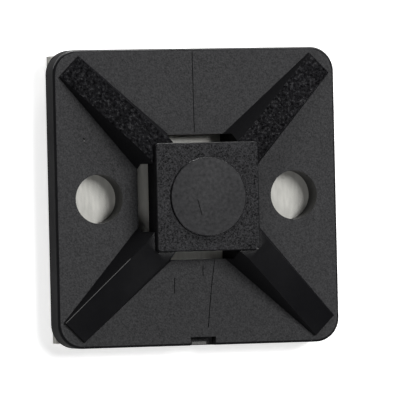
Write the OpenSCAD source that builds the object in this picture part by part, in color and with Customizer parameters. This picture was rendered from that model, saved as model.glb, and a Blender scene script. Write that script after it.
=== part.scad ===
// Four-way adhesive cable tie mount: a moulded base with two crossing tie ways,
// on a square of double-sided foam tape that still has its release liner.
// Origin: middle of the liner's underside. +Z points out of the hub. Millimetres.

/* [Base plate] */
// Side of the square base plate
base_w = 28; // [26:0.5:36]
// Thickness of the base plate
base_t = 2.3; // [1.6:0.1:4]
// Radius of the plate's four corners
base_corner_r = 2.3; // [1.5:0.1:3.6]
// Radius of the plate's front edge
base_edge_r = 0.25; // [0.1:0.05:0.5]

/* [Hub] */
// Side of the square hub that the tie pulls down on
hub_w = 10.2; // [8.4:0.1:11.2]
// Height of the hub's top above the plate's face
hub_rise = 3.1; // [2.4:0.1:5]
// Height of the hub's underside above the plate's face
hub_gap = 0.75; // [0.3:0.05:1.2]
// Radius of the hub's four upright corners
hub_corner_r = 0.35; // [0.2:0.05:1]
// Radius of the hub's top edge
hub_edge_r = 0.12; // [0.05:0.01:0.18]

/* [Witness disc on the hub] */
// Diameter of the raised disc
disc_d = 7.45; // [4:0.05:8]
// Height of the disc above the hub
disc_h = 0.2; // [0.12:0.01:0.5]
// Radius of the disc's rim
disc_edge_r = 0.08; // [0.02:0.01:0.1]

/* [Diagonal ribs] */
// Width of a rib's flat top
rib_top_w = 2.6; // [1.6:0.1:3.2]
// Lean of a rib's side walls from upright, in degrees
rib_draft = 19; // [5:1:22]
// Drop from the hub's top to the rib's top at the hub's corner
rib_step = 0.45; // [0.2:0.05:1]
// Height of a rib's outer end above the plate's face
rib_tip_h = 0.3; // [0.1:0.05:0.8]
// Gap, along the diagonal, from a rib's outer end to the plate's square corner
rib_tip_gap = 2.2; // [1.9:0.1:6]

/* [Crossing tie ways] */
// Width of each tie way
way_w = 6.4; // [5:0.1:7]
// Length of each tie way's opening in the plate
way_l = 11.8; // [11.4:0.1:13]

/* [Screw holes] */
// Diameter of the two screw holes
hole_d = 4.65; // [3:0.05:5.2]
// Distance between the two screw holes
hole_pitch = 19.4; // [18.4:0.1:20.6]

/* [Moulding gate] */
// Width of the relief notch at the gate
gate_w = 2.5; // [1.8:0.1:4]
// How far the notch reaches in from the plate's edge
gate_reach = 0.8; // [0.4:0.05:1.2]
// Depth of the notch below the plate's face
gate_depth = 1.2; // [0.6:0.1:1.5]
// Offset of the notch from the middle of the side
gate_x = 0.3; // [-3:0.1:3]
// Width of the gate's broken stub
stub_w = 1.4; // [0.8:0.1:1.7]
// Thickness of the gate's broken stub
stub_t = 0.28; // [0.15:0.01:0.35]
// Offset of the stub from the middle of the notch
stub_x = -0.28; // [-0.4:0.01:0.4]
// Distance from the plate's side to the stub
stub_setback = 0.07; // [0.02:0.01:0.3]
// Height of the stub above the notch's floor
stub_h = 0.75; // [0.3:0.05:1.1]

/* [Foam tape] */
// Margin of bare plate around the square tape
tape_inset = 0.5; // [0.2:0.1:2]
// Thickness of the foam
foam_t = 1; // [0.5:0.1:1.6]
// Thickness of the release liner
liner_t = 0.12; // [0.1:0.01:0.2]

/* [Hidden] */
$fn = 64;

// Levels, from the liner up
foam_z = liner_t;
plate_z = foam_z + foam_t;
face_z = plate_z + base_t;
hub_under_z = face_z + hub_gap;
hub_top_z = face_z + hub_rise;
rib_root_z = hub_top_z - rib_step;
rib_tip_z = face_z + rib_tip_h;

// Places along a rib's diagonal, from the middle of the part
diagonal = sqrt(2);
hub_corner_u = hub_w / 2 * diagonal;
rib_root_u = way_w / 2 * diagonal;
rib_tip_u = base_w / 2 * diagonal - rib_tip_gap;
rib_slope = atan((rib_root_z - rib_tip_z) / (rib_tip_u - hub_corner_u));
rib_depth = rib_root_z - plate_z;
rib_foot_w = rib_top_w + 2 * rib_depth * tan(rib_draft);

tape_w = base_w - 2 * tape_inset;
gate_floor_z = face_z - gate_depth;

// Clearance by which a cutter runs past the faces that it opens
past = 1;

// Half of a tile's upright section, with a rolled top edge
module tile_half_section(reach, height, edge_r) {
    square([reach - edge_r, height]);
    square([reach, height - edge_r]);
    translate([reach - edge_r, height - edge_r]) circle(r = edge_r);
}

// A tile's whole section, both halves
module tile_section(reach, height, edge_r) {
    tile_half_section(reach, height, edge_r);
    mirror([1, 0]) tile_half_section(reach, height, edge_r);
}

// Square tile with round upright corners and a rolled top edge, standing on z = 0
module rolled_tile(width, height, corner_r, edge_r) {
    straight = width - 2 * corner_r;
    for (turn = [0, 90])
        rotate([0, 0, turn])
            rotate([90, 0, 0])
                linear_extrude(height = straight, center = true)
                    tile_section(width / 2, height, edge_r);
    for (quarter = [0 : 3])
        rotate([0, 0, 90 * quarter])
            translate([straight / 2, straight / 2, 0])
                rotate_extrude(angle = 90)
                    tile_half_section(corner_r, height, edge_r);
}

// Section of a rib: its flat top lies on y = 0 and its walls lean outwards below
module rib_section() {
    polygon([
        [-rib_top_w / 2, 0],
        [rib_top_w / 2, 0],
        [rib_foot_w / 2, -rib_depth],
        [-rib_foot_w / 2, -rib_depth],
    ]);
}

// One rib along +X: its top falls from the hub's corner to the outer end
module rib() {
    run = rib_tip_u + past;
    intersection() {
        translate([hub_corner_u, 0, rib_root_z])
            rotate([0, rib_slope, 0])
                rotate([90, 0, 90])
                    linear_extrude(height = 2 * run, center = true) rib_section();
        translate([rib_root_u, -rib_foot_w, plate_z])
            cube([rib_tip_u - rib_root_u, 2 * rib_foot_w, rib_depth]);
    }
}

// Cross of two tie ways, open through the plate and the ribs' roots
module tie_ways() {
    for (turn = [0, 90])
        rotate([0, 0, turn])
            translate([-way_l / 2, -way_w / 2, plate_z - past])
                cube([way_l, way_w, hub_top_z - plate_z + 2 * past]);
}

// Both screw holes
module screw_holes() {
    for (side = [-1, 1])
        translate([side * hole_pitch / 2, 0, plate_z - past])
            cylinder(d = hole_d, h = base_t + 2 * past);
}

// Relief notch in the plate's front edge, where the moulding was gated
module gate_notch() {
    translate([gate_x - gate_w / 2, -base_w / 2 - past, gate_floor_z])
        cube([gate_w, gate_reach + past, gate_depth + past]);
}

// What is left of the gate, standing in its notch
module gate_stub() {
    translate([gate_x + stub_x - stub_w / 2, -base_w / 2 + stub_setback, plate_z])
        cube([stub_w, stub_t, base_t - gate_depth + stub_h]);
}

// Plate and ribs, opened for the ties, the screws and the gate
module ribbed_plate() {
    difference() {
        union() {
            translate([0, 0, plate_z])
                rolled_tile(base_w, base_t, base_corner_r, base_edge_r);
            for (corner = [0 : 3])
                rotate([0, 0, 45 + 90 * corner]) rib();
        }
        tie_ways();
        screw_holes();
        gate_notch();
    }
}

// Hub over the crossing: the ribs' roots are its four legs
module hub() {
    translate([0, 0, hub_under_z])
        rolled_tile(hub_w, hub_rise - hub_gap, hub_corner_r, hub_edge_r);
}

// Raised disc that the mould's round insert leaves on the hub
module witness_disc() {
    translate([0, 0, hub_top_z - hub_edge_r])
        rotate_extrude()
            tile_half_section(disc_d / 2, disc_h + hub_edge_r, disc_edge_r);
}

// The injection moulding, one piece of black nylon
module mount_body() {
    color("#232326") {
        ribbed_plate();
        hub();
        witness_disc();
        gate_stub();
    }
}

// Square of white foam tape, not punched at the holes
module foam_pad() {
    color("#d8d8d2")
        translate([-tape_w / 2, -tape_w / 2, foam_z])
            cube([tape_w, tape_w, foam_t]);
}

// Paper liner that keeps the tape's outer face clean
module release_liner() {
    color("#eceae2")
        translate([-tape_w / 2, -tape_w / 2, 0])
            cube([tape_w, tape_w, liner_t]);
}

mount_body();
foam_pad();
release_liner();
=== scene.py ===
"""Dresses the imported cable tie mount: black nylon moulding, foam tape, paper liner and a pale studio."""

from math import cos, hypot, radians, sin

import bmesh
import bpy
from mathutils import Matrix, Vector


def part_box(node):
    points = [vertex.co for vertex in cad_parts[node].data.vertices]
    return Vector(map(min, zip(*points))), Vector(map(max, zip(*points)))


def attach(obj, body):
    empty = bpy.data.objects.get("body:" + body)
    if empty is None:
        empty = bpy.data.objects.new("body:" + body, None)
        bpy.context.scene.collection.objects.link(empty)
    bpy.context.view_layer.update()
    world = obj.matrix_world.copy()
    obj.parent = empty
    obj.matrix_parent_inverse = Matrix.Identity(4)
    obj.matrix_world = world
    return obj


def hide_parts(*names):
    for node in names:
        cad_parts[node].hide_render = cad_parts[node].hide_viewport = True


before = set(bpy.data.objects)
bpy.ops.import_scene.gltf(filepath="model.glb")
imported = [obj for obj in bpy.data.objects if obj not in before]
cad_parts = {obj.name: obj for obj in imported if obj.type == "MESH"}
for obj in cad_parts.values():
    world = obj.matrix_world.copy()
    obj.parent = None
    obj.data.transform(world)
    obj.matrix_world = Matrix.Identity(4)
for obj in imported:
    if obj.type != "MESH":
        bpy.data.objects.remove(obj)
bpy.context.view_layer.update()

bl_info = {
    "name": "Adhesive cable tie mount",
    "version": (1, 0, 0),
    "blender": (4, 5, 0),
    "location": "View3D > Sidebar > Tie Mount",
    "description": "Builds the moulding, its foam tape and liner, and a studio round them",
    "category": "Object",
}

MM = 0.001

FLOW_MARK = 4.5 * MM   # breadth of the cloudy marks that the melt leaves as it fills the mould
FLOW_SHARE = 0.22      # how much the cloudy marks count in the tone, next to the pits
SHARP = radians(32)    # an edge that turns by more than this is sharp
FLOOR_GAP = 0.02 * MM  # keeps the floor clear of the liner's underside, which lies at z = 0

# Heights above the liner's underside, in millimetres
FACE_LEVEL = 3.42   # the plate's face
HUB_LEVEL = 6.52    # the hub's top
DISC_LEVEL = 6.714  # the disc's top, less half the depth of a scratch


# ---------------------------------------------------------------- colours and nodes

def srgb(code):
    """A colour written as an sRGB hex value, as the linear RGBA that Blender works in."""
    channels = [int(code[i:i + 2], 16) / 255 for i in (1, 3, 5)]
    return tuple(c / 12.92 if c <= 0.04045 else ((c + 0.055) / 1.055) ** 2.4 for c in channels) + (1.0,)


def add(tree, kind, inputs=None, **settings):
    """Adds one node. settings are its properties, inputs the values of its sockets or sockets to link."""
    node = tree.nodes.new(kind)
    for name, value in settings.items():
        setattr(node, name, value)
    for name, value in (inputs or {}).items():
        if isinstance(value, bpy.types.NodeSocket):
            tree.links.new(value, node.inputs[name])
        else:
            node.inputs[name].default_value = value
    return node


def new_material(name):
    """An empty material and its node tree."""
    material = bpy.data.materials.new(name)
    material.use_nodes = True
    material.node_tree.nodes.clear()
    return material, material.node_tree


# ---------------------------------------------------------------- settings

def colour_property(name, description, code):
    """A colour swatch whose default is an sRGB hex value."""
    return bpy.props.FloatVectorProperty(
        name=name, description=description, subtype="COLOR", size=4, min=0, max=1, default=srgb(code))


def length_property(name, description, millimetres):
    """A length in metres whose default is written in millimetres."""
    return bpy.props.FloatProperty(
        name=name, description=description, subtype="DISTANCE", unit="LENGTH",
        precision=6, default=millimetres * MM)


class MouldingSettings(bpy.types.PropertyGroup):
    """Colours and fine sizes of the moulding"""
    textured: colour_property("Textured nylon", "Colour of the spark-textured faces", "#1e1e20")
    polished: colour_property("Polished nylon", "Colour of the polished walls and ribs", "#0f0f11")
    # Painted shade: a near-black that stands in for the shade inside the hairline seams and scratches.
    seam: colour_property("Seams", "Colour in the hairline seams and scratches", "#060607")
    # This pale grey also colours the flash bead along one rib, where it is a painted highlight.
    torn: colour_property("Torn nylon", "Colour of the strained nylon at the broken gate", "#575756")
    edge: length_property("Edge radius", "Radius that the mould leaves on the sharp edges", 0.05)
    grain: length_property("Grain", "Distance between the pits of the spark texture", 0.14)


class TapeSettings(bpy.types.PropertyGroup):
    """Colours of the foam and liner, and the foam's cut"""
    foam: colour_property("Foam", "Colour of the foam tape", "#cccbc5")
    liner: colour_property("Liner", "Colour of the paper liner", "#eceae4")
    raggedness: length_property("Cut edge", "How unevenly the blade left the foam's sides", 0.05)


class StageSettings(bpy.types.PropertyGroup):
    """The floor and the camera"""
    floor: colour_property("Floor", "Colour of the studio floor", "#f2f2f2")
    distance: length_property("Camera distance", "Distance from the camera to the plate's face", 548.9)
    lens: bpy.props.FloatProperty(name="Lens", description="Focal length in millimetres", default=524.3)


# ---------------------------------------------------------------- modelling helpers

def start():
    """Leaves edit mode and deselects everything."""
    if bpy.context.mode != "OBJECT":
        bpy.ops.object.mode_set(mode="OBJECT")
    bpy.ops.object.select_all(action="DESELECT")


def activate(obj):
    """Makes obj the only selected object."""
    start()
    obj.select_set(True)
    bpy.context.view_layer.objects.active = obj
    return obj


def pick(obj, kind, test):
    """In edit mode, selects only the faces or edges for which test is true. Returns how many."""
    mesh = bmesh.from_edit_mesh(obj.data)
    bpy.ops.mesh.select_all(action="DESELECT")
    bpy.context.tool_settings.mesh_select_mode = (False, kind == "edges", kind == "faces")
    chosen = [item for item in getattr(mesh, kind) if test(item)]
    for item in chosen:
        item.select_set(True)
    mesh.select_flush_mode()
    bmesh.update_edit_mesh(obj.data)
    return len(chosen)


def finish_piece(obj, material):
    """Applies place and turn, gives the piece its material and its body."""
    activate(obj)
    bpy.ops.object.transform_apply(location=True, rotation=True, scale=True)
    if material is not None:
        obj.data.materials.clear()
        obj.data.materials.append(material)
    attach(obj, "root")
    return obj


# ---------------------------------------------------------------- materials

def nylon(name, colour, roughness, specular, pit, depth, mottle, sparkle=0.0):
    """Black PA66. pit is the texture's spacing, depth its height and mottle how far the tone drifts.

    sparkle is the extra gloss of the few highest grains, which flash singly as the part turns.
    """
    material, tree = new_material(name)
    place = add(tree, "ShaderNodeTexCoord")
    pits = add(tree, "ShaderNodeTexNoise", {
        "Vector": place.outputs["Object"], "Scale": 1 / pit, "Detail": 2.0, "Roughness": 0.6})
    cloud = add(tree, "ShaderNodeTexNoise", {
        "Vector": place.outputs["Object"], "Scale": 1 / FLOW_MARK, "Detail": 2.0})
    drift = add(tree, "ShaderNodeMath", {
        0: cloud.outputs["Fac"], 1: FLOW_SHARE, 2: pits.outputs["Fac"]}, operation="MULTIPLY_ADD")
    tone = add(tree, "ShaderNodeMapRange", {
        "Value": drift.outputs["Value"], "From Min": 0.36, "From Max": 0.86,
        "To Min": 1 - mottle, "To Max": 1 + mottle})
    shade = add(tree, "ShaderNodeMix", {
        "Factor": 1.0, "A": tuple(colour), "B": tone.outputs["Result"]},
        data_type="RGBA", blend_type="MULTIPLY")
    relief = add(tree, "ShaderNodeBump", {
        "Height": pits.outputs["Fac"], "Strength": 1.0, "Distance": depth})
    gloss = add(tree, "ShaderNodeMapRange", {
        "Value": cloud.outputs["Fac"], "From Min": 0.3, "From Max": 0.7,
        "To Min": roughness - 0.04, "To Max": roughness + 0.04})
    sheen = add(tree, "ShaderNodeMath", {
        0: tone.outputs["Result"], 1: specular}, operation="MULTIPLY")
    grains = add(tree, "ShaderNodeMapRange", {
        "Value": pits.outputs["Fac"], "From Min": 0.55, "From Max": 0.72, "To Min": 0.0, "To Max": sparkle})
    sheen = add(tree, "ShaderNodeMath", {
        0: sheen.outputs["Value"], 1: grains.outputs["Result"]}, operation="ADD")
    shader = add(tree, "ShaderNodeBsdfPrincipled", {
        "Base Color": shade.outputs["Result"], "Roughness": gloss.outputs["Result"], "IOR": 1.53,
        "Specular IOR Level": sheen.outputs["Value"], "Normal": relief.outputs["Normal"]})
    add(tree, "ShaderNodeOutputMaterial", {"Surface": shader.outputs["BSDF"]})
    return material


def spark_face(settings):
    """Against a spark-eroded tool: a dry, fine-pitted face with a broad grey sheen."""
    return nylon("spark_face_nylon", settings.textured, 0.7, 0.36, settings.grain, 0.03 * MM, 0.48)


def spark_hub(settings):
    """The hub's own cavity, sparked a little deeper: the same grain, drier and darker than the plate."""
    return nylon("spark_hub_nylon", settings.textured, 0.76, 0.23, settings.grain, 0.06 * MM, 1.0)


def spark_rib(settings):
    """Coarser sparking on two of the ribs: dark, with single grains that catch the light."""
    return nylon("spark_rib_nylon", settings.polished, 0.45, 0.03, 2.0 * settings.grain,
                 0.12 * MM, 0.9, sparkle=0.12)


def insert_face(settings):
    """The disc left by a ground insert: flatter and more even than the face round it."""
    return nylon("insert_face_nylon", settings.textured, 0.68, 0.27, 2.2 * settings.grain, 0.012 * MM, 0.3)


def polished_rib(settings):
    """Against draw-polished steel: deep, even black with a tight gloss."""
    return nylon("polished_rib_nylon", settings.polished, 0.22, 0.25, 4 * settings.grain, 0.003 * MM, 0.06)


def rolled_edge(settings):
    """Cutter-polished radius round the rims: black, with a thin line of light where it faces a lamp."""
    return nylon("rolled_edge_nylon", settings.polished, 0.3, 0.5, 4 * settings.grain, 0.003 * MM, 0.06)


def seam_shadow(settings):
    """Painted shade for a hairline seam or scratch: black and dry, standing in for the shade at its bottom,
    as no light comes back out of it.
    """
    return nylon("seam_nylon", settings.seam, 0.9, 0.05, settings.grain, 0.01 * MM, 0.1)


def torn_nylon(settings):
    """Nylon whitened by the strain where the gate was broken off: pale grey, dry and fibrous. On the flash
    bead along one rib the same pale grey is a painted highlight of the light that catches the rib's edge.
    """
    return nylon("torn_nylon", settings.torn, 0.8, 0.4, 0.5 * settings.grain, 0.03 * MM, 0.5)


def bore_wall(settings):
    """The holes' and ways' walls, against polished core pins: black that picks up the pale tape below."""
    return nylon("bore_wall_nylon", settings.polished, 0.4, 0.5, 2 * settings.grain, 0.006 * MM, 0.1)


def drawn_wall(settings):
    """Upright walls, drawn off the tool: dull black with a faint grain."""
    return nylon("drawn_wall_nylon", settings.polished, 0.72, 0.08, 2 * settings.grain, 0.006 * MM, 0.1)


def tape_foam(settings):
    """Closed-cell polyethylene foam: off-white and dull, with the web's fine streaks and small cells."""
    material, tree = new_material("tape_foam")
    place = add(tree, "ShaderNodeTexCoord")
    streak_place = add(tree, "ShaderNodeMapping", {
        "Vector": place.outputs["Object"], "Scale": (1.0, 0.25, 1.0)})
    streaks = add(tree, "ShaderNodeTexNoise", {
        "Vector": streak_place.outputs["Vector"], "Scale": 1 / (0.35 * MM), "Detail": 3.0})
    tone = add(tree, "ShaderNodeMapRange", {
        "Value": streaks.outputs["Fac"], "From Min": 0.3, "From Max": 0.7, "To Min": 0.86, "To Max": 1.05})
    colour = add(tree, "ShaderNodeMix", {
        "Factor": 1.0, "A": tuple(settings.foam), "B": tone.outputs["Result"]},
        data_type="RGBA", blend_type="MULTIPLY")
    cells = add(tree, "ShaderNodeTexVoronoi", {"Vector": place.outputs["Object"], "Scale": 1 / (0.12 * MM)})
    bump = add(tree, "ShaderNodeBump", {
        "Height": cells.outputs["Distance"], "Strength": 0.5, "Distance": 0.02 * MM})
    shader = add(tree, "ShaderNodeBsdfPrincipled", {
        "Base Color": colour.outputs["Result"], "Roughness": 0.8, "IOR": 1.5,
        "Normal": bump.outputs["Normal"]})
    add(tree, "ShaderNodeOutputMaterial", {"Surface": shader.outputs["BSDF"]})
    return material


def liner_paper(settings):
    """Glassine release paper: smooth, off-white and faintly shiny from its silicone coat."""
    material, tree = new_material("liner_paper")
    place = add(tree, "ShaderNodeTexCoord")
    pulp = add(tree, "ShaderNodeTexNoise", {
        "Vector": place.outputs["Object"], "Scale": 1 / (0.6 * MM), "Detail": 4.0})
    tone = add(tree, "ShaderNodeMapRange", {
        "Value": pulp.outputs["Fac"], "From Min": 0.3, "From Max": 0.7, "To Min": 0.94, "To Max": 1.02})
    colour = add(tree, "ShaderNodeMix", {
        "Factor": 1.0, "A": tuple(settings.liner), "B": tone.outputs["Result"]},
        data_type="RGBA", blend_type="MULTIPLY")
    shader = add(tree, "ShaderNodeBsdfPrincipled", {
        "Base Color": colour.outputs["Result"], "Roughness": 0.45, "IOR": 1.48})
    add(tree, "ShaderNodeOutputMaterial", {"Surface": shader.outputs["BSDF"]})
    return material


def studio_floor(settings):
    """Matt white card that the camera sees as a clean white, with the object's shadow kept."""
    material, tree = new_material("studio_floor")
    path = add(tree, "ShaderNodeLightPath")
    seen = add(tree, "ShaderNodeMath", {
        0: path.outputs["Is Camera Ray"], 1: path.outputs["Is Glossy Ray"]}, operation="MAXIMUM")
    seen = add(tree, "ShaderNodeMath", {
        0: seen.outputs["Value"], 1: path.outputs["Is Transmission Ray"]}, operation="MAXIMUM")
    lift = add(tree, "ShaderNodeMath", {0: seen.outputs["Value"], 1: 0.55}, operation="MULTIPLY")
    card = add(tree, "ShaderNodeBsdfDiffuse", {"Color": tuple(settings.floor)})
    glow = add(tree, "ShaderNodeEmission", {"Color": (1.0, 1.0, 1.0, 1.0), "Strength": lift.outputs["Value"]})
    both = add(tree, "ShaderNodeAddShader", {0: card.outputs["BSDF"], 1: glow.outputs["Emission"]})
    add(tree, "ShaderNodeOutputMaterial", {"Surface": both.outputs["Shader"]})
    return material


# ---------------------------------------------------------------- pieces

# Slopes and bands by which the moulding's faces are told apart
FLAT = cos(radians(4))   # least upward slope of a face that lies flat
RIB_TOP = cos(radians(20))  # least upward slope of a rib's falling top
ROLLED = 0.12            # least upward slope of a rolled edge
POLISHED_SIDE = 0.3      # least lean along Y at which a rolled edge is polished
CROWN = 0.3 * MM         # depth of the band that holds the disc and the hub's rolled edge
DISC_FACE = 0.05 * MM    # depth of the band that holds the disc's face
DISC_EDGE = 0.1 * MM     # depth of the band that holds the disc's rolled edge
RIM = 0.35 * MM          # breadth of the band round the plate that holds its rolled edge
GATE_STUB = (-0.75 * MM, 0.8 * MM, 0.05 * MM, 0.4 * MM)  # its sides in x, and its reach from the plate's side
CORNER = 2.3 * MM        # radius of the plate's corners
PLATE = 2.3 * MM         # the plate's thickness
GATE_FLOOR = 1.1 * MM    # height of the gate notch's floor above the plate's back
STUB_FOOT = 0.03 * MM    # height above the notch's floor from which a face is the stub's
STUB_TOP = 0.8 * MM      # height above the notch's floor by which the stub has ended


def is_outer(place, high):
    """True within RIM of the plate's rounded square outline."""
    past_x = max(abs(place.x) - (high.x - CORNER), 0)
    past_y = max(abs(place.y) - (high.y - CORNER), 0)
    return hypot(past_x, past_y) > CORNER - RIM


def is_rim(place, high):
    """True on the rolled edges: round the plate, the hub and the disc."""
    return is_outer(place, high) or place.z > high.z - CROWN


def is_gate_stub(place, low):
    """True on the broken stub in the gate notch, above the notch's floor."""
    left, right, near, far = GATE_STUB
    level = place.z - low.z
    return (left < place.x < right and near < place.y - low.y < far
            and GATE_FLOOR + STUB_FOOT < level < GATE_FLOOR + STUB_TOP)


FINISHES = (spark_face, insert_face, spark_rib, polished_rib, drawn_wall, spark_hub, rolled_edge, torn_nylon,
            bore_wall)


def finish_of(face, low, high):
    """The finish of one face of the moulding, from its place and slope."""
    place, normal = face.center, face.normal
    hub_level = (low.z + high.z) / 2
    rib = spark_rib if place.y > 0 else polished_rib
    if is_gate_stub(place, low):
        return torn_nylon
    if normal.z > FLAT:
        if place.z < hub_level:
            return spark_face
        if place.z < high.z - CROWN:
            return rib
        return insert_face if place.z > high.z - DISC_FACE else spark_hub
    if normal.z > RIB_TOP and not is_rim(place, high):
        return rib
    if normal.z > ROLLED and is_rim(place, high):
        on_disc = place.z > high.z - DISC_EDGE
        lean = -normal.y if on_disc and normal.y < 0 else normal.y
        return rolled_edge if lean > POLISHED_SIDE else drawn_wall
    return drawn_wall if is_outer(place, high) or place.z > low.z + PLATE else bore_wall


def paint_faces(body, settings):
    """Gives each face of the moulding the finish of the tool that shaped it."""
    body.data.materials.clear()
    for finish in FINISHES:
        body.data.materials.append(finish(settings))
    low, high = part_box("mount_body")
    for face in body.data.polygons:
        face.material_index = FINISHES.index(finish_of(face, low, high))


class TIEMOUNT_OT_moulding(bpy.types.Operator):
    """The black moulding, with the small radii that its mould leaves on every edge"""
    bl_idname = "tiemount.moulding"
    bl_label = "Moulding"

    def execute(self, context):
        settings = context.scene.tiemount_moulding
        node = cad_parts["mount_body"]
        body = bpy.data.objects.new("moulding", node.data.copy())
        context.scene.collection.objects.link(body)
        activate(body)
        bpy.ops.object.mode_set(mode="EDIT")
        bpy.ops.mesh.select_all(action="SELECT")
        bpy.ops.mesh.remove_doubles(threshold=1e-7)
        bpy.ops.mesh.customdata_custom_splitnormals_clear()
        bpy.ops.mesh.select_all(action="SELECT")
        bpy.ops.mesh.dissolve_limited(angle_limit=radians(0.5))
        bpy.ops.object.mode_set(mode="OBJECT")
        bpy.ops.object.shade_smooth_by_angle(angle=SHARP)
        bevel = body.modifiers.new("mould_radius", "BEVEL")
        bevel.width = settings.edge
        bevel.segments = 2
        bevel.limit_method = "ANGLE"
        bevel.angle_limit = SHARP
        bevel.harden_normals = True
        bpy.ops.object.modifier_apply(modifier=bevel.name)
        finish_piece(body, None)
        paint_faces(body, settings)
        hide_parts("mount_body")
        return {"FINISHED"}


# Marks on the moulding, each a run of points (x, y, height above the liner) in millimetres
# The knit lines and scratches are raised beads in the near-black painted shade of a groove.
KNIT_LINES = (((-0.2, 13.7, FACE_LEVEL), (-0.15, 6.1, FACE_LEVEL)),
              ((1.6, -5.95, FACE_LEVEL), (1.22, -8.5, FACE_LEVEL), (0.82, -12.3, FACE_LEVEL)))
SCRATCHES = (((-2.43, -7.6, FACE_LEVEL), (-2.46, -9.0, FACE_LEVEL)),
             ((0.42, -6.5, FACE_LEVEL), (0.4, -7.4, FACE_LEVEL)),
             ((-11.18, 5.72, FACE_LEVEL), (-11.0, 5.62, FACE_LEVEL)),
             ((-1.08, -0.3, DISC_LEVEL), (-0.71, -1.7, DISC_LEVEL)))
FLECKS = (((-11.1, 5.48, FACE_LEVEL), (-11.0, 5.46, FACE_LEVEL)),
          ((4.75, -5.0, HUB_LEVEL), (4.87, -4.98, HUB_LEVEL)))
# A thin flash ridge along one rib's edge, coloured pale grey: a painted highlight for the light that edge
# catches.
FLASH_AND_HIGHLIGHT = (((-13.36, -11.53, 3.72), (-9.6, -7.76, 4.93), (-7.5, -5.66, 5.6)),)


BEAD_EDGE = 0.3  # how much is taken off a bead's edges, as a share of its smaller side


def bead(run, width, height):
    """Models one thin bead along a run of points: a bar for each stretch, with its edges taken off."""
    bars = []
    for start_point, end_point in zip(run, run[1:]):
        tail, tip = Vector(start_point) * MM, Vector(end_point) * MM
        start()
        bpy.ops.mesh.primitive_cube_add(size=1, location=(tail + tip) / 2)
        bar = bpy.context.object
        bar.scale = ((tip - tail).length + width, width, height)
        bar.rotation_mode = "QUATERNION"
        bar.rotation_quaternion = (tip - tail).to_track_quat("X", "Z")
        bpy.ops.object.transform_apply(location=True, rotation=True, scale=True)
        bpy.ops.object.mode_set(mode="EDIT")
        bpy.ops.mesh.select_all(action="SELECT")
        bpy.ops.mesh.bevel(offset=BEAD_EDGE * min(width, height), segments=1)
        bpy.ops.object.mode_set(mode="OBJECT")
        bars.append(bar)
    return bars


def model_beads(name, runs, material, width, height):
    """Joins the beads of all the runs into one piece."""
    bars = [bar for run in runs for bar in bead(run, width, height)]
    start()
    for bar in bars:
        bar.select_set(True)
    bpy.context.view_layer.objects.active = bars[0]
    if len(bars) > 1:
        bpy.ops.object.join()
    piece = bpy.context.view_layer.objects.active
    piece.name = name
    return finish_piece(piece, material)


class TIEMOUNT_OT_marks(bpy.types.Operator):
    """Knit lines where the melt's fronts met, a few scratches and flecks, and the flash along one rib. The
    knit lines and scratches carry painted shade, and the flash's pale grey is a painted highlight.
    """
    bl_idname = "tiemount.marks"
    bl_label = "Moulding marks"

    def execute(self, context):
        settings = context.scene.tiemount_moulding
        # seam is painted shade for the knit lines and scratches.
        seam = seam_shadow(settings)
        model_beads("knit_lines", KNIT_LINES, seam, width=0.075 * MM, height=0.012 * MM)
        model_beads("scratches", SCRATCHES, seam, width=0.08 * MM, height=0.012 * MM)
        # The pale grey is the gate's real whitening, and on the rib's flash a painted highlight.
        torn = torn_nylon(settings)
        model_beads("flecks", FLECKS, torn, width=0.09 * MM, height=0.02 * MM)
        model_beads("rib_flash", FLASH_AND_HIGHLIGHT, torn, width=0.055 * MM, height=0.055 * MM)
        return {"FINISHED"}


class TIEMOUNT_OT_foam_pad(bpy.types.Operator):
    """The foam tape behind the plate"""
    bl_idname = "tiemount.foam_pad"
    bl_label = "Foam pad"

    def execute(self, context):
        settings = context.scene.tiemount_tape
        low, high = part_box("foam_pad")
        start()
        bpy.ops.mesh.primitive_cube_add(size=1, location=(low + high) / 2)
        pad = context.object
        pad.name = "foam_tape"
        pad.scale = high - low
        bpy.ops.object.transform_apply(location=True, rotation=True, scale=True)
        bpy.ops.object.mode_set(mode="EDIT")
        bpy.ops.mesh.select_all(action="SELECT")
        bpy.ops.mesh.subdivide(number_cuts=60)
        pick(pad, "faces", lambda face: abs(face.normal.z) < 0.5)
        bpy.ops.transform.vertex_random(offset=settings.raggedness, seed=4)
        mesh = bmesh.from_edit_mesh(pad.data)
        for corner in mesh.verts:
            for axis in range(3):
                corner.co[axis] = min(max(corner.co[axis], low[axis]), high[axis])
        bmesh.update_edit_mesh(pad.data)
        bpy.ops.object.mode_set(mode="OBJECT")
        finish_piece(pad, tape_foam(settings))
        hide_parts("foam_pad")
        return {"FINISHED"}


class TIEMOUNT_OT_liner(bpy.types.Operator):
    """The paper liner under the tape"""
    bl_idname = "tiemount.liner"
    bl_label = "Release liner"

    def execute(self, context):
        settings = context.scene.tiemount_tape
        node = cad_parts["release_liner"]
        node.data.materials.clear()
        node.data.materials.append(liner_paper(settings))
        return {"FINISHED"}


LAMP_DISTANCE = 0.6  # metres from the mount to each lamp
LAMPS = (  # name, direction from the mount, width and height in metres, power in watts
    ("key", (0.42, 0.27, 0.89), 0.14, 0.3, 3.2),
    ("left_fill", (-0.36, -0.35, 0.87), 0.3, 0.14, 0.5),
    ("top_rim", (0.05, 0.95, 0.3), 0.25, 0.1, 2.4),
    ("low_bounce", (-0.3, -0.9, 0.3), 0.3, 0.1, 0.6))
CAMERA_TURN = (-19.12, 0.017, -1.286)  # azimuth, elevation and roll, in degrees
CAMERA_SLIDE = (0.2586, 0.2983)        # how far it stands to the right and below, in millimetres


def aim(lamp, towards, target):
    """Puts a lamp at LAMP_DISTANCE from target, facing it."""
    direction = Vector(towards).normalized()
    lamp.location = Vector(target) + direction * LAMP_DISTANCE
    lamp.rotation_mode = "QUATERNION"
    lamp.rotation_quaternion = direction.to_track_quat("Z", "Y")


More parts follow.
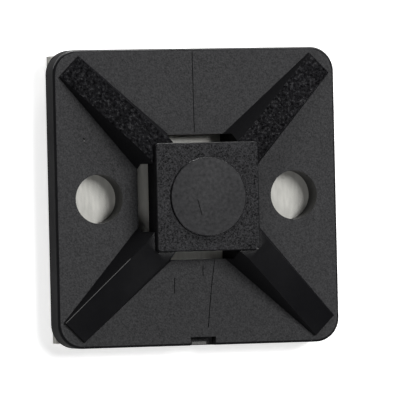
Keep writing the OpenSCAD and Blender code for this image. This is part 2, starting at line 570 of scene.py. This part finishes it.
def soft_lamp(name, towards, target, width, height, power):
    """Adds one soft box that faces target."""
    data = bpy.data.lights.new(name, "AREA")
    data.shape = "RECTANGLE"
    data.size = width
    data.size_y = height
    data.energy = power
    lamp = bpy.data.objects.new(name, data)
    bpy.context.scene.collection.objects.link(lamp)
    aim(lamp, towards, target)


def lay_floor(settings):
    """Lays the pale floor that the mount lies on."""
    start()
    bpy.ops.mesh.primitive_plane_add(size=1.6, location=(0, 0, -FLOOR_GAP))
    floor = bpy.context.object
    floor.name = "studio_floor"
    floor.data.materials.append(studio_floor(settings))


def light_studio(scene):
    """Gives the studio its faint sky and its soft lamps."""
    world = bpy.data.worlds.new("studio")
    world.use_nodes = True
    world.node_tree.nodes.clear()
    sky = add(world.node_tree, "ShaderNodeBackground", {"Color": (1.0, 1.0, 1.0, 1.0), "Strength": 0.06})
    add(world.node_tree, "ShaderNodeOutputWorld", {"Surface": sky.outputs["Background"]})
    scene.world = world
    crown = (0, 0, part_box("mount_body")[1].z)
    for name, towards, width, height, power in LAMPS:
        soft_lamp(name, towards, crown, width, height, power)


def place_camera(scene, settings):
    """Stands the camera above the mount, turned and rolled a little, and looks through it."""
    azimuth, elevation, roll = (radians(angle) for angle in CAMERA_TURN)
    back = Vector((sin(azimuth) * cos(elevation), sin(elevation), cos(azimuth) * cos(elevation)))
    right = Vector((0, 1, 0)).cross(back).normalized()
    upward = back.cross(right)
    turned_right = cos(roll) * right + sin(roll) * upward
    turned_up = cos(roll) * upward - sin(roll) * right
    plate_face = Vector((0, 0, FACE_LEVEL * MM))
    rightward, downward = CAMERA_SLIDE
    data = bpy.data.cameras.new("camera")
    data.lens = settings.lens
    data.sensor_width = 36
    data.clip_start = 0.05
    data.clip_end = 5
    camera = bpy.data.objects.new("camera", data)
    scene.collection.objects.link(camera)
    spot = (plate_face + back * settings.distance
            + turned_right * rightward * MM - turned_up * downward * MM)
    camera.matrix_world = Matrix((
        (turned_right.x, turned_up.x, back.x, spot.x),
        (turned_right.y, turned_up.y, back.y, spot.y),
        (turned_right.z, turned_up.z, back.z, spot.z),
        (0, 0, 0, 1)))
    scene.camera = camera


class TIEMOUNT_OT_stage(bpy.types.Operator):
    """The pale floor, the soft lamps and the camera"""
    bl_idname = "tiemount.stage"
    bl_label = "Studio"

    def execute(self, context):
        settings = context.scene.tiemount_stage
        lay_floor(settings)
        light_studio(context.scene)
        place_camera(context.scene, settings)
        context.scene.view_settings.view_transform = "Standard"
        return {"FINISHED"}


class TIEMOUNT_PT_panel(bpy.types.Panel):
    """Buttons for the mount's pieces"""
    bl_label = "Tie Mount"
    bl_idname = "TIEMOUNT_PT_panel"
    bl_space_type = "VIEW_3D"
    bl_region_type = "UI"
    bl_category = "Tie Mount"

    def draw(self, context):
        for name in GROUPS:
            group = getattr(context.scene, name)
            box = self.layout.box()
            for setting in group.__annotations__:
                box.prop(group, setting)
        for operator in OPERATORS:
            self.layout.operator(operator.bl_idname)


OPERATORS = (
    TIEMOUNT_OT_stage, TIEMOUNT_OT_moulding, TIEMOUNT_OT_marks, TIEMOUNT_OT_foam_pad, TIEMOUNT_OT_liner)
GROUPS = {
    "tiemount_moulding": MouldingSettings, "tiemount_tape": TapeSettings, "tiemount_stage": StageSettings}


def register():
    """Adds the settings, operators and panel to Blender."""
    for name, group in GROUPS.items():
        bpy.utils.register_class(group)
        setattr(bpy.types.Scene, name, bpy.props.PointerProperty(type=group))
    for kind in OPERATORS + (TIEMOUNT_PT_panel,):
        bpy.utils.register_class(kind)


def unregister():
    """Takes them out again, in the opposite order."""
    for kind in reversed(OPERATORS + (TIEMOUNT_PT_panel,)):
        bpy.utils.unregister_class(kind)
    for name, group in reversed(list(GROUPS.items())):
        delattr(bpy.types.Scene, name)
        bpy.utils.unregister_class(group)


def main():
    """Builds every piece and the studio."""
    register()
    bpy.ops.tiemount.stage()
    bpy.ops.tiemount.moulding()
    bpy.ops.tiemount.marks()
    bpy.ops.tiemount.foam_pad()
    bpy.ops.tiemount.liner()


if __name__ == "__main__":
    main()
